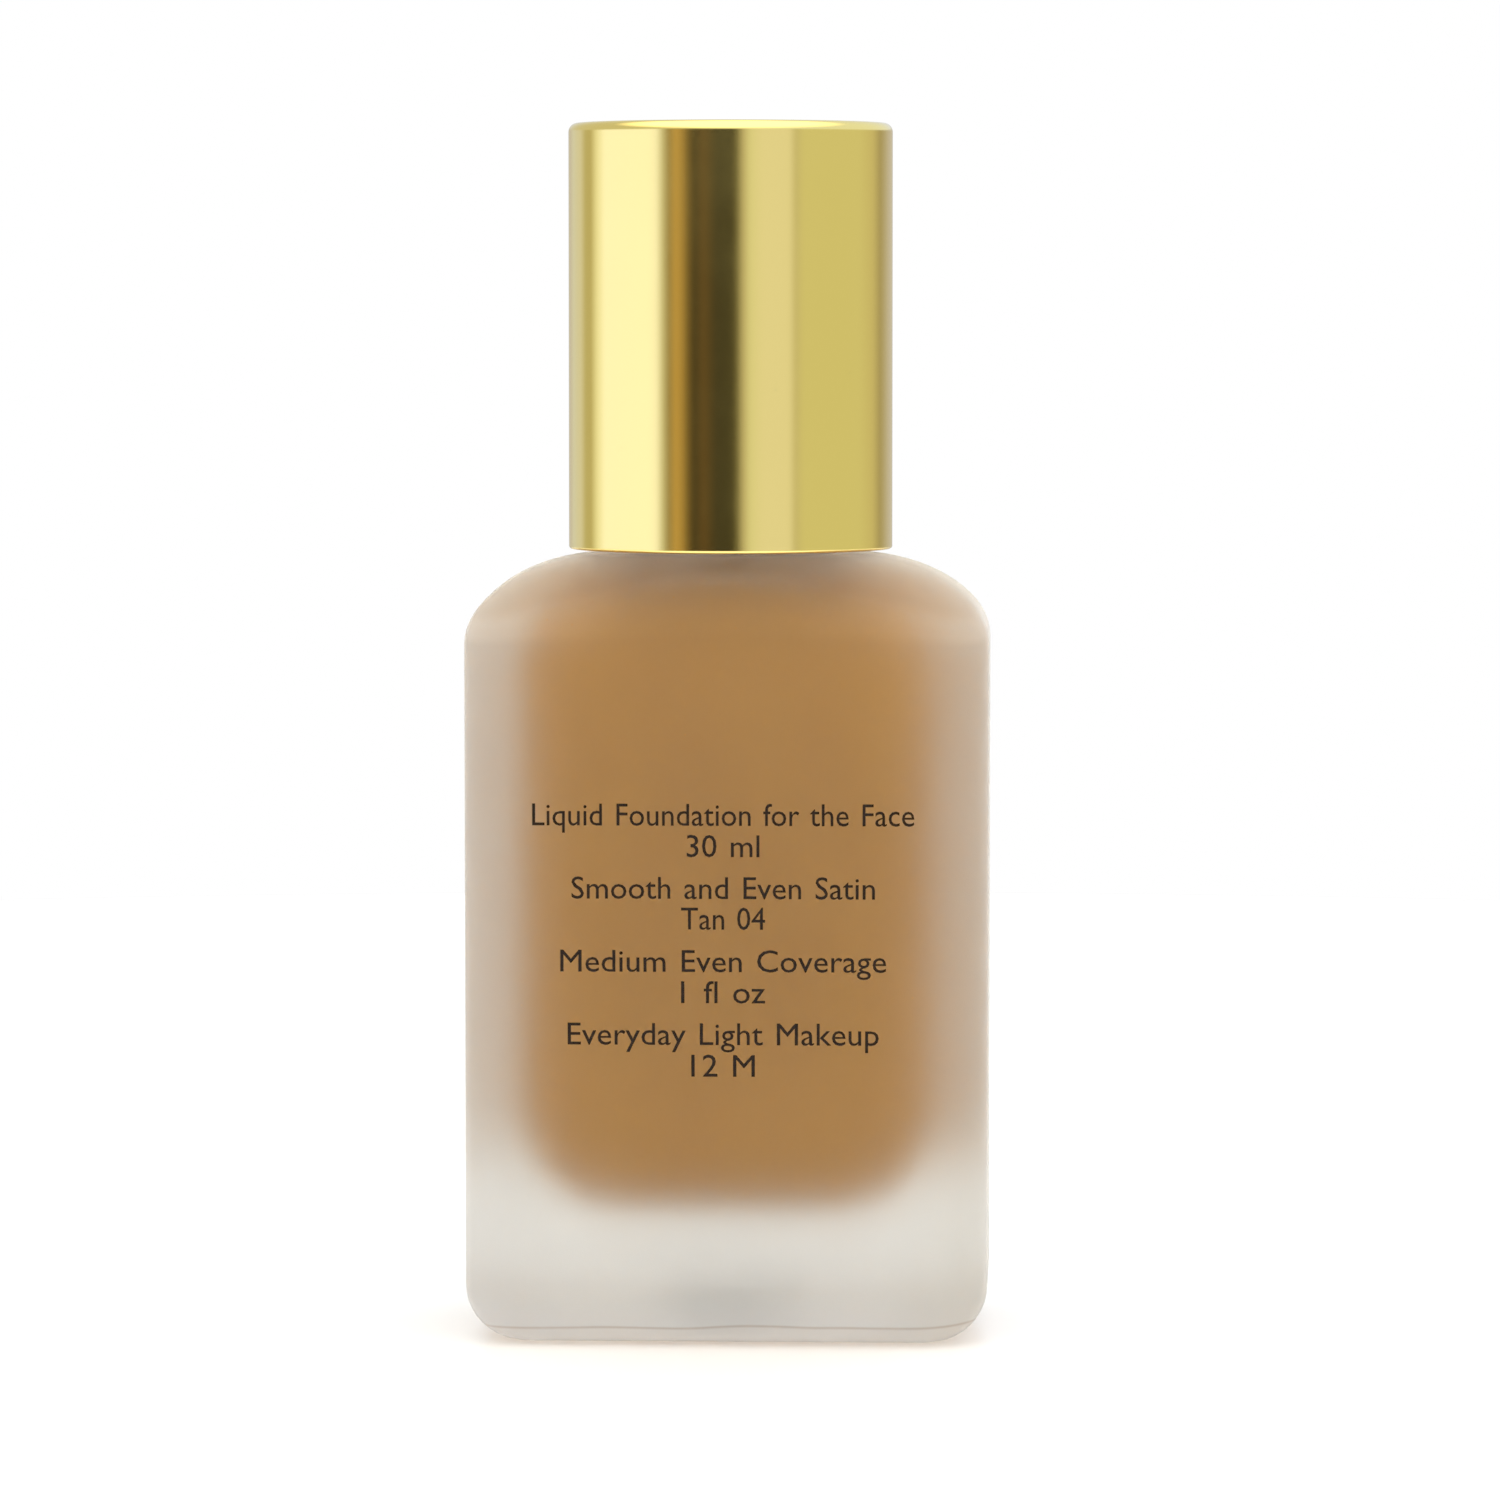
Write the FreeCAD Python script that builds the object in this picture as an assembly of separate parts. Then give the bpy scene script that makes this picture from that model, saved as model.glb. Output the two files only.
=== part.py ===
# A 30 ml foundation bottle: thick frosted glass with a screw neck, closed by a tall gold metal cap.
# Millimetres. The origin is on the table under the middle of the bottle, +Z is up and -Y is the
# printed front.
import FreeCAD, Part
import math
import os

# Glass body, outside
body_width = 46.5  # X
body_depth = 30.0  # Y
corner_radius = 6.0  # the four upright corners
wall_height = 62.0  # where the upright walls turn into the shoulder
shoulder_rise = 7.9  # from there up to the foot of the neck
heel_radius = 5.0  # rounding where the walls meet the base
push_up_depth = 0.8  # shallow recess under the base
push_up_margin = 7.5  # from the outside of the body to the edge of that recess
push_up_radius = 3.5

# Glass body, inside
side_wall = 4.2
face_wall = 7.1
base_thickness = 11.3
cavity_corner_radius = 5.5
cavity_corner_share = 0.7  # the most of the cavity's half depth that its upright corners take
cavity_floor_reach = 9.0  # how far in from the side walls the rounded floor corners run
cavity_floor_rise = 10.0
cavity_floor_spread = 5.0  # the same from the front and back walls
cavity_shoulder_drop = 1.5  # the inside turns in this much lower than the outside
crown_wall = 2.2  # glass above the cavity, at the foot of the neck
fill_drop = 1.0  # fluid level below the top of the cavity

# Neck
neck_radius = 8.95
bore_radius = 6.0
neck_height = 14.0
neck_fillet = 2.05
lip_radius = 0.8
mouth_radius = 0.5
bead_height = 1.2  # the ring that the mould's neck parts leave below the thread
bead_gap = 0.6  # between the bead and the cap's thread above it

# Screw thread, right-handed
pitch = 3.175
thread_turns = 1.5
thread_depth = 0.97
thread_foot_half = 0.95
thread_crest_half = 0.45
thread_below_lip = 1.6
thread_sunk = 0.3  # a rib's foot goes this far into the wall that carries it

# Cap shell
cap_radius = 14.5
cap_height = 38.0
cap_gap = 0.3  # between the shoulder and the cap's rim
shell_wall = 0.5
shell_edge_radius = 0.8
rolled_lip = 0.7  # how far the rim is turned in under the inner cap

# Inside the cap
weight_thickness = 3.0
weight_radius = 13.4
weight_chamfer = 0.3
fit_gap = 0.05  # round the pieces that sit in the shell
inner_wall = 1.0
socket_wall = 1.1
inner_floor = 1.0
inner_roof = 1.4
rib_count = 8
rib_thickness = 1.0
screw_clearance = 0.35  # between the crest of either thread and the wall that it faces
liner_thickness = 1.2
liner_gap = 0.3  # between the liner and the wall of the socket

# Label under the base
label_gap = 1.0  # between the label and the sides of the recess
label_thickness = 0.1

# Places that follow from those sizes
shoulder_top = wall_height + shoulder_rise
neck_top = shoulder_top + neck_height
thread_crest = neck_radius + thread_depth
cavity_top = shoulder_top - crown_wall
fill_level = cavity_top - fill_drop
cap_rim = shoulder_top + cap_gap
cap_top = cap_rim + cap_height
shell_inside = cap_radius - shell_wall
shell_ceiling = cap_top - shell_wall
socket_radius = thread_crest + screw_clearance
socket_roof = neck_top + liner_thickness
inner_foot = cap_rim + shell_wall
weight_seat = shell_ceiling - weight_thickness
neck_thread_start = neck_top - thread_below_lip - thread_crest_half - pitch * thread_turns
cap_thread_start = neck_thread_start - pitch / 2
cap_thread_foot_half = thread_foot_half - fit_gap
cap_thread_crest_half = thread_crest_half - fit_gap
bead_top = cap_thread_start - cap_thread_foot_half - bead_gap
label_radius = body_depth / 2 - push_up_margin - label_gap

OUTLINE_STEPS = 9
LAST_STEP_ANGLE = math.radians(87.0)  # a full quarter turn would leave no straight sides
EMBED = 1.0  # how far joined solids run into each other


def vec(x, y, z):
    return FreeCAD.Vector(x, y, z)


def outline(half_x, half_y, radius, z):
    """A rectangle with rounded corners, as a closed wire at height z."""
    edges = []
    for turn, (sx, sy) in enumerate([(1, 1), (-1, 1), (-1, -1), (1, -1)]):
        centre = vec(sx * (half_x - radius), sy * (half_y - radius), z)
        first = math.radians(90 * turn)
        points = [centre + vec(math.cos(first + a), math.sin(first + a), 0) * radius
                  for a in (0, math.pi / 4, math.pi / 2)]
        if edges:
            edges.append(Part.LineSegment(edges[-1].Vertexes[-1].Point, points[0]).toShape())
        edges.append(Part.Arc(*points).toShape())
    edges.append(Part.LineSegment(edges[-1].Vertexes[-1].Point, edges[0].Vertexes[0].Point).toShape())
    return Part.Wire(edges)


def prism(half_x, half_y, radius, z_low, z_high):
    """An upright block with rounded corners."""
    return Part.Face(outline(half_x, half_y, radius, z_low)).extrude(vec(0, 0, z_high - z_low))


def dome(wide, narrow, z_wide, z_narrow):
    """A solid that narrows from one rounded rectangle to another along a quarter ellipse.

    wide and narrow are (half_x, half_y, radius). It is upright at z_wide and level at z_narrow.
    """
    wires = []
    for step in range(OUTLINE_STEPS + 1):
        angle = LAST_STEP_ANGLE * step / OUTLINE_STEPS
        share = 1 - math.cos(angle)
        sizes = [a + (b - a) * share for a, b in zip(wide, narrow)]
        wires.append(outline(*sizes, z_wide + (z_narrow - z_wide) * math.sin(angle)))
    return Part.makeLoft(wires, True, False)


def cylinder(radius, z_low, z_high):
    return Part.makeCylinder(radius, z_high - z_low, vec(0, 0, z_low))


def tube(outer, inner, z_low, z_high):
    return cylinder(outer, z_low, z_high).cut(cylinder(inner, z_low, z_high))


def round_edges(solid, radius, z, r_min, r_max):
    """Rounds the circular edges at height z whose radius is between r_min and r_max."""
    found = [e for e in solid.Edges
             if isinstance(e.Curve, Part.Circle) and abs(e.Curve.Center.z - z) < fit_gap
             and r_min < e.Curve.Radius < r_max]
    return solid.makeFillet(radius, found)


def thread_rib(foot, crest, foot_half, crest_half, z_start):
    """A helical rib whose foot is at one radius and its crest at the other, inside or outside."""
    outward = 1 if crest > foot else -1
    flank = (foot_half - crest_half) / abs(crest - foot)
    buried = foot - outward * thread_sunk
    buried_half = foot_half + flank * thread_sunk
    corners = [vec(buried, 0, -buried_half), vec(crest, 0, -crest_half),
               vec(crest, 0, crest_half), vec(buried, 0, buried_half)]
    section = Part.makePolygon(corners + corners[:1])
    helix = Part.Wire(Part.makeHelix(pitch, pitch * thread_turns, foot).Edges)
    rib = helix.makePipeShell([section], True, True)
    rib.translate(vec(0, 0, z_start))
    return rib


def cavity():
    """The space inside the body, up to the foot of the neck."""
    half_x = body_width / 2 - side_wall
    half_y = body_depth / 2 - face_wall
    corner = min(cavity_corner_radius, half_y * cavity_corner_share)
    full = (half_x, half_y, corner)
    floor_radius = min(corner, half_y - cavity_floor_spread - fit_gap)
    floor = (half_x - cavity_floor_reach, half_y - cavity_floor_spread, floor_radius)
    z_floor = base_thickness + cavity_floor_rise
    z_shoulder = wall_height - cavity_shoulder_drop
    middle = prism(*full, z_floor, z_shoulder)
    bottom = dome(full, floor, z_floor, base_thickness)
    top = dome(full, (bore_radius, bore_radius, bore_radius), z_shoulder, cavity_top)
    return middle.fuse([bottom, top]).removeSplitter()


def body_outside():
    """The outer form of the body: a block with a rounded foot and a domed shoulder."""
    half = (body_width / 2, body_depth / 2, corner_radius)
    neck_foot = neck_radius + neck_fillet
    block = prism(*half, 0, wall_height)
    foot_edges = [e for e in block.Edges if e.BoundBox.ZMax < fit_gap]
    block = block.makeFillet(heel_radius, foot_edges)
    shoulder = dome(half, (neck_foot, neck_foot, neck_foot), wall_height, shoulder_top)
    return block.fuse(shoulder)


def neck_outside():
    """The neck with its flared foot, bead, thread and rounded lip."""
    foot_radius = neck_radius + neck_fillet
    z_low = shoulder_top - EMBED
    z_fillet = shoulder_top + neck_fillet
    middle = math.pi * 5 / 4
    flare_centre = vec(foot_radius, 0, z_fillet)
    flare_middle = flare_centre + vec(math.cos(middle), 0, math.sin(middle)) * neck_fillet
    flare_low = vec(foot_radius, 0, shoulder_top)
    flare_high = vec(neck_radius, 0, z_fillet)
    flare = Part.Arc(flare_low, flare_middle, flare_high).toShape()
    path = [flare_high, vec(neck_radius, 0, neck_top), vec(0, 0, neck_top),
            vec(0, 0, z_low), vec(foot_radius, 0, z_low), flare_low]
    lines = [Part.LineSegment(a, b).toShape() for a, b in zip(path, path[1:])]
    profile = Part.Face(Part.Wire([flare] + lines))
    neck = profile.revolve(vec(0, 0, 0), vec(0, 0, 1), 360)
    neck = round_edges(neck, lip_radius, neck_top, bore_radius, thread_crest)
    bead = cylinder(thread_crest, bead_top - bead_height, bead_top)
    bead = bead.makeFillet(bead_height / 3, [e for e in bead.Edges if isinstance(e.Curve, Part.Circle)])
    rib = thread_rib(neck_radius, thread_crest, thread_foot_half, thread_crest_half, neck_thread_start)
    return neck.fuse([bead, rib])


def base_recess():
    """The shallow push-up that leaves a bearing ring round the edge of the base."""
    half_x = body_width / 2 - push_up_margin
    half_y = body_depth / 2 - push_up_margin
    return prism(half_x, half_y, push_up_radius, -EMBED, push_up_depth)


def glass_bottle():
    solid = body_outside().fuse(neck_outside())
    bore = cylinder(bore_radius, cavity_top - EMBED, neck_top + EMBED)
    solid = solid.cut(cavity().fuse(bore)).cut(base_recess())
    return round_edges(solid, mouth_radius, neck_top, bore_radius - fit_gap, bore_radius + fit_gap)


def foundation_fluid():
    """The fluid fills the cavity up to its level, against the glass."""
    slab = Part.makeBox(body_width, body_depth, fill_level, vec(-body_width / 2, -body_depth / 2, 0))
    return cavity().common(slab)


def base_label():
    return cylinder(label_radius, push_up_depth - label_thickness, push_up_depth)


def cap_shell():
    """A drawn metal cup with a rounded crown and its rim rolled in under the inner cap."""
    cup = cylinder(cap_radius, cap_rim, cap_top)
    cup = round_edges(cup, shell_edge_radius, cap_top, 0, cap_radius + EMBED)
    hollow = cylinder(shell_inside, inner_foot, shell_ceiling)
    mouth = cylinder(shell_inside - rolled_lip, cap_rim - EMBED, inner_foot + EMBED)
    shell = cup.cut(hollow.fuse(mouth))
    return round_edges(shell, shell_wall / 2, cap_rim, cap_radius - EMBED / 2, cap_radius + EMBED)


def cap_weight():
    disc = cylinder(weight_radius, weight_seat, shell_ceiling)
    return disc.makeChamfer(weight_chamfer, [e for e in disc.Edges if isinstance(e.Curve, Part.Circle)])


def inner_cap():
    """Skirt, threaded socket and roof in one moulding, with ribs between the two walls."""
    skirt_radius = shell_inside - fit_gap
    socket_outside = socket_radius + socket_wall
    z_roof = socket_roof + inner_roof
    skirt = tube(skirt_radius, skirt_radius - inner_wall, inner_foot, weight_seat)
    floor = tube(skirt_radius, socket_radius, inner_foot, inner_foot + inner_floor)
    socket = tube(socket_outside, socket_radius, inner_foot, z_roof)
    roof = cylinder(socket_outside, socket_roof, z_roof)
    between = tube(skirt_radius, socket_radius, inner_foot, z_roof)
    ribs = []
    rib_corner = vec(0, -rib_thickness / 2, inner_foot)
    for index in range(rib_count):
        rib = Part.makeBox(skirt_radius, rib_thickness, z_roof - inner_foot, rib_corner)
        rib.rotate(vec(0, 0, 0), vec(0, 0, 1), 360 * index / rib_count)
        ribs.append(rib.common(between))
    crest = neck_radius + screw_clearance
    screw = thread_rib(socket_radius, crest, cap_thread_foot_half, cap_thread_crest_half,
                       cap_thread_start)
    return skirt.fuse([floor, socket, roof, screw] + ribs)


def cap_liner():
    return cylinder(socket_radius - liner_gap, neck_top, socket_roof)


NODES = {
    "glass_bottle": glass_bottle,
    "foundation_fluid": foundation_fluid,
    "base_label": base_label,
    "cap_shell": cap_shell,
    "cap_weight": cap_weight,
    "inner_cap": inner_cap,
    "cap_liner": cap_liner,
}

os.makedirs("parts", exist_ok=True)
for name, make in NODES.items():
    shape = make()
    solids = shape.Solids
    box = shape.BoundBox
    print(name, "solids", len(solids), "valid", shape.isValid(), "volume", round(shape.Volume, 2),
          "z", round(box.ZMin, 3), round(box.ZMax, 3), "x", round(box.XMin, 3), round(box.XMax, 3))
    if len(solids) == 1:
        shape = solids[0]
    shape.exportStep("parts/" + name + ".step")
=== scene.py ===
import math

import bmesh
import bpy
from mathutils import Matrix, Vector


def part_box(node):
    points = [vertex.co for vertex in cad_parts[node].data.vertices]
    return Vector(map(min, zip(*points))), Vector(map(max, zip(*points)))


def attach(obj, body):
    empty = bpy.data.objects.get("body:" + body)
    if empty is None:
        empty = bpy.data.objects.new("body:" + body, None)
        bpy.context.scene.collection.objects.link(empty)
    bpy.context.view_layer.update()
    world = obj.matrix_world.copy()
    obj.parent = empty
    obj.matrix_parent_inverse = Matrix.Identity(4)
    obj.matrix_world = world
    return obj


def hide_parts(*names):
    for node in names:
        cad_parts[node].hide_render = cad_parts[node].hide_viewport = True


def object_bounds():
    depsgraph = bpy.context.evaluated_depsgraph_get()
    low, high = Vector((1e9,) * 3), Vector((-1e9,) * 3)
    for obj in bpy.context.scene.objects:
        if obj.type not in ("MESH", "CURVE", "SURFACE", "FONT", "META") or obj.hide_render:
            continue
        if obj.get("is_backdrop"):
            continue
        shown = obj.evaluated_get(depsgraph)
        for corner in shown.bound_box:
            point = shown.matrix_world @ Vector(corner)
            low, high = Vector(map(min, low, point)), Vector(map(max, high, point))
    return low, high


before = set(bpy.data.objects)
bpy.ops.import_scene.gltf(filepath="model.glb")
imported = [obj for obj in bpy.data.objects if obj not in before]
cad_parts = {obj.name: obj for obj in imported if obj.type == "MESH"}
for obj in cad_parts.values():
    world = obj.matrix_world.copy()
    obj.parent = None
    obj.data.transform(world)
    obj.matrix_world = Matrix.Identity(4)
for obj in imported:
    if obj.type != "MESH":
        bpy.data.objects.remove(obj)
cad_low, cad_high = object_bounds()
MM = 0.001

# ---- Camera and studio -----------------------------------------------------------------------------
# A long lens looks at the printed face from a little to the right and a little above. The bottle
# stands on a white sweep. The room round it is a ring of softboxes and dark gaps, as in a light tent.
CAMERA_SIDE = math.radians(2.6)
CAMERA_DISTANCE = 620 * MM
CAMERA_HEIGHT = 93 * MM
CAMERA_TILT = math.radians(3.78)
CAMERA_PAN = math.radians(0.16)
LENS = 165.8

scene = bpy.context.scene
scene.view_settings.view_transform = "Standard"
scene.cycles.max_bounces = 24
scene.cycles.glossy_bounces = 16
scene.cycles.transmission_bounces = 24

camera_data = bpy.data.cameras.new("camera")
camera_data.lens = LENS
camera_data.sensor_width = 36
camera_data.clip_start = 0.01
camera = bpy.data.objects.new("camera", camera_data)
camera.location = (CAMERA_DISTANCE * math.sin(CAMERA_SIDE), -CAMERA_DISTANCE * math.cos(CAMERA_SIDE),
                   CAMERA_HEIGHT)
camera.rotation_euler = (math.pi / 2 - CAMERA_TILT, 0, CAMERA_SIDE - CAMERA_PAN)
scene.collection.objects.link(camera)
scene.camera = camera


def node_tree(owner):
    """Gives the owner's node tree, emptied."""
    owner.use_nodes = True
    tree = owner.node_tree
    tree.nodes.clear()
    return tree


def add(tree, kind, links=None, **settings):
    """Adds one node. links maps an input to a socket or a plain value."""
    made = tree.nodes.new(kind)
    for name, value in settings.items():
        setattr(made, name, value)
    for name, value in (links or {}).items():
        if isinstance(value, bpy.types.NodeSocket):
            tree.links.new(value, made.inputs[name])
        else:
            made.inputs[name].default_value = value
    return made


def ramp(tree, factor, stops, interpolation="EASE"):
    """A colour ramp with stops of (place, colour)."""
    made = add(tree, "ShaderNodeValToRGB", {"Fac": factor})
    made.color_ramp.interpolation = interpolation
    elements = made.color_ramp.elements
    while len(elements) < len(stops):
        elements.new(0.5)
    for element, (place, colour) in zip(elements, stops):
        element.position = place
        element.color = (*colour, 1)
    return made.outputs["Color"]


# What stands round the bottle, by the angle in degrees from the camera, positive to its right.
BACK_WALL = (0.7, 0.68, 0.66)
ROOM = [
    (-180, BACK_WALL), (-160, BACK_WALL), (-150, (0.8, 0.85, 0.95)), (-134, (0.82, 0.85, 0.98)),
    (-126, (0.62, 0.6, 0.46)), (-118, (0.61, 0.58, 0.42)), (-110, (1.05, 1.1, 1.17)),
    (-101, (1.3, 1.42, 2.0)), (-60, (1.35, 1.45, 2.0)), (-54, (1.25, 1.35, 1.9)),
    (-49, (0.7, 0.72, 0.75)), (-44.5, (0.36, 0.29, 0.17)), (-39, (0.64, 0.44, 0.18)),
    (-35, (0.5, 0.35, 0.15)), (-30, (0.17, 0.12, 0.055)), (-26, (0.05, 0.04, 0.025)),
    (-19, (0.12, 0.075, 0.035)), (-10, (0.04, 0.035, 0.022)), (1, (0.045, 0.04, 0.022)),
    (4, (0.12, 0.11, 0.06)), (9, (0.62, 0.6, 0.55)), (14, (0.87, 0.92, 0.9)), (22, (0.94, 0.96, 1.05)),
    (42, (0.94, 0.96, 1.05)), (47, (0.68, 0.67, 0.6)), (53, (0.78, 0.79, 0.62)),
    (104, (0.78, 0.79, 0.62)), (121, (0.71, 0.68, 0.51)), (133, (0.48, 0.44, 0.33)),
    (150, (0.64, 0.62, 0.66)), (165, BACK_WALL), (180, BACK_WALL)]
TENT_LEFT = (0.76, 0.76, 0.7)
TENT_RIGHT = (1.0, 1.1, 1.3)
OVERHEAD = (2.5, 2.42, 2.2)
OVERHEAD_FACES = (0.0, -0.42, 0.91)  # it leans towards the camera
ROOM_STRENGTH = 0.85
SWEEP_RADIUS = 450 * MM
SWEEP_WHITE = (0.84, 0.84, 0.85, 1)

world = bpy.data.worlds.new("light_tent")
scene.world = world
tree = node_tree(world)
direction = add(tree, "ShaderNodeTexCoord").outputs["Generated"]
turned = add(tree, "ShaderNodeVectorRotate", {"Vector": direction, "Angle": -CAMERA_SIDE},
             rotation_type="Z_AXIS")
axes = add(tree, "ShaderNodeSeparateXYZ", {"Vector": turned.outputs["Vector"]})
front = add(tree, "ShaderNodeMath", {0: axes.outputs["Y"], 1: -1.0}, operation="MULTIPLY")
angle = add(tree, "ShaderNodeMath", {0: axes.outputs["X"], 1: front.outputs[0]}, operation="ARCTAN2")
place = add(tree, "ShaderNodeMapRange", {"Value": angle.outputs[0], "From Min": -math.pi,
                                         "From Max": math.pi})
ring = ramp(tree, place.outputs[0], [((a + 180) / 360, colour) for a, colour in ROOM], "LINEAR")
across = add(tree, "ShaderNodeMapRange", {"Value": axes.outputs["X"], "From Min": -0.7,
                                          "From Max": 0.7})
tent = ramp(tree, across.outputs[0], [(0.0, TENT_LEFT), (1.0, TENT_RIGHT)])
lean = add(tree, "ShaderNodeVectorMath", {0: turned.outputs["Vector"], 1: OVERHEAD_FACES},
           operation="DOT_PRODUCT")
high = add(tree, "ShaderNodeMapRange", {"Value": lean.outputs["Value"], "From Min": 0.45,
                                        "From Max": 0.75})
roof = add(tree, "ShaderNodeMix", {"Factor": high.outputs[0], "A": tent, "B": (*OVERHEAD, 1.0)},
           data_type="RGBA").outputs["Result"]
off_ring = add(tree, "ShaderNodeMapRange", {"Value": axes.outputs["Z"], "From Min": 0.04,
                                            "From Max": 0.14}, interpolation_type="SMOOTHSTEP")
room = add(tree, "ShaderNodeMix", {"Factor": off_ring.outputs[0], "A": ring, "B": roof},
           data_type="RGBA")
seen = add(tree, "ShaderNodeLightPath").outputs["Is Camera Ray"]
light = add(tree, "ShaderNodeBackground", {"Color": room.outputs["Result"], "Strength": ROOM_STRENGTH})
plain = add(tree, "ShaderNodeBackground", {"Color": (1, 1, 1, 1), "Strength": 1.0})
mixed = add(tree, "ShaderNodeMixShader", {0: seen, 1: light.outputs[0], 2: plain.outputs[0]})
add(tree, "ShaderNodeOutputWorld", {"Surface": mixed.outputs[0]})

bpy.ops.mesh.primitive_circle_add(vertices=128, radius=SWEEP_RADIUS, fill_type="NGON",
                                  location=(0, 0, 0))
sweep = bpy.context.object
sweep.name = "white_sweep"
sweep_paint = bpy.data.materials.new("white_sweep")
tree = node_tree(sweep_paint)
shader = add(tree, "ShaderNodeBsdfPrincipled", {"Base Color": SWEEP_WHITE, "Roughness": 0.25,
                                                "Specular IOR Level": 0.25,
                                                "Emission Color": (1, 1, 1, 1),
                                                "Emission Strength": 0.12})
add(tree, "ShaderNodeOutputMaterial", {"Surface": shader.outputs[0]})
sweep.data.materials.append(sweep_paint)
sweep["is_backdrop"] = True


# ---- Glass bottle ----------------------------------------------------------------------------------
# Blown flint glass with thick walls and a heavy foot, its outside etched to an even satin by acid.
# Round the heel a fine brown line under a paler band is painted shade and light, low where the rounding
# faces down. The neck carries a bead and a single-start thread.
BODY_HALF = (cad_high.x, cad_high.y)
CORNER = 6.0 * MM
WALL_TOP = 62.0 * MM
SHOULDER_TOP = 69.9 * MM
HEEL = 5.0 * MM
HEEL_STEPS = 10
CORNER_STEPS = 10
SIDE_CUTS = 15
SHOULDER_STEPS = 18
LEVEL = 0.9  # the normal of a level face is steeper than this
DEAD_LEVEL = 0.9999
SMOOTH_ANGLE = math.radians(40)
NECK_RADIUS = 8.95 * MM
NECK_FLARE = 2.05 * MM
THREAD_DEPTH = 0.97 * MM
PITCH = 3.175 * MM
THREAD_TURNS = 1.5
THREAD_FOOT_HALF = 0.95 * MM
THREAD_CREST_HALF = 0.45 * MM
THREAD_SUNK = 0.3 * MM
THREAD_BELOW_LIP = 1.6 * MM
THREAD_STEPS_PER_TURN = 72
THREAD_RUN_OUT = 8
NECK_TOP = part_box("glass_bottle")[1].z
BEAD_LOW = 72.8 * MM
BEAD_HIGH = 74.0 * MM
BEAD_SHARE = 0.62  # how far the bead stands out, as a share of the thread's depth
HOLD = 0.1 * MM  # a narrow ring of faces beside a rounding keeps its shading crisp
BORE_RADIUS = 6.0 * MM
LIP = 0.8 * MM
MOUTH = 0.5 * MM
PUSH_UP = 0.8 * MM
PUSH_UP_MARGIN = 7.5 * MM
FROST = 0.72
GLASS_INDEX = 1.5
GLASS_TINT = (0.84, 0.83, 0.785)
# Round the heel and base: a paler band of painted light, a darker tint of painted shade below it, and a
# fine line of painted shade between them.
HEEL_BAND_PAINTED_LIGHT = (0.86, 0.83, 0.78)
HEEL_PAINTED_SHADE = (0.88, 0.81, 0.73)
HEEL_LINE_PAINTED_SHADE = (0.52, 0.42, 0.33, 1)
fluid_low, fluid_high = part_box("foundation_fluid")
CAVITY_HALF = (fluid_high.x, fluid_high.y)
CAVITY_CORNER = 5.5 * MM
CAVITY_FLOOR = fluid_low.z
CAVITY_FLOOR_RISE = 10.0 * MM
CAVITY_FLOOR_REACH = 9.0 * MM
CAVITY_FLOOR_SPREAD = 5.0 * MM
CAVITY_FLOOR_HALF = (CAVITY_HALF[0] - CAVITY_FLOOR_REACH, CAVITY_HALF[1] - CAVITY_FLOOR_SPREAD)
CAVITY_FLOOR_TURN = math.radians(88)  # a full quarter turn would end in a second level rim
CAVITY_SHOULDER = 60.5 * MM
CAVITY_TOP = 67.7 * MM


def start(name):
    """Names the primitive that was just added and opens it in edit mode with its place applied."""
    piece = bpy.context.object
    piece.name = name
    piece.data.name = name
    bpy.ops.object.transform_apply(location=True, rotation=True, scale=True)
    bpy.ops.object.mode_set(mode="EDIT")
    return piece


def choose(piece, kind, wanted):
    """Selects the vertices, edges or faces of the open piece that the test picks."""
    bpy.ops.mesh.select_mode(type=kind)
    bpy.ops.mesh.select_all(action="DESELECT")
    mesh = bmesh.from_edit_mesh(piece.data)
    for element in {"VERT": mesh.verts, "EDGE": mesh.edges, "FACE": mesh.faces}[kind]:
        element.select = wanted(element)
    mesh.select_flush_mode()
    bmesh.update_edit_mesh(piece.data)


def fit_loop(piece, half_x, half_y):
    """Resizes the selected level loop to the given half width and half depth."""
    mesh = bmesh.from_edit_mesh(piece.data)
    points = [v.co for v in mesh.verts if v.select]
    scale = (half_x / max(p.x for p in points), half_y / max(p.y for p in points), 1)
    bpy.ops.transform.resize(value=scale, center_override=(0, 0, points[0].z))


def step_to(piece, half_x, half_y, z):
    """Extrudes the selected level face or loop to height z and fits it to a size."""
    mesh = bmesh.from_edit_mesh(piece.data)
    rise = z - next(v.co.z for v in mesh.verts if v.select)
    bpy.ops.mesh.extrude_region_move(TRANSFORM_OT_translate={"value": (0, 0, rise)})
    fit_loop(piece, half_x, half_y)


def rounded_block(name, half, corner, low, high):
    """A block with rounded upright corners and evenly cut sides, left open in edit mode."""
    bpy.ops.object.select_all(action="DESELECT")
    bpy.ops.mesh.primitive_cube_add(size=1, location=(0, 0, (low + high) / 2),
                                    scale=(2 * half[0], 2 * half[1], high - low))
    piece = start(name)
    choose(piece, "EDGE", lambda e: abs(e.verts[0].co.z - e.verts[1].co.z) > (high - low) / 2)
    bpy.ops.mesh.bevel(offset=corner, segments=CORNER_STEPS, affect="EDGES", clamp_overlap=False)
    arc_edge = corner * math.pi / 2 / CORNER_STEPS
    choose(piece, "EDGE",
           lambda e: e.verts[0].co.z == e.verts[1].co.z and e.calc_length() > 1.5 * arc_edge)
    bpy.ops.mesh.subdivide(number_cuts=SIDE_CUTS)
    return piece


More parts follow.
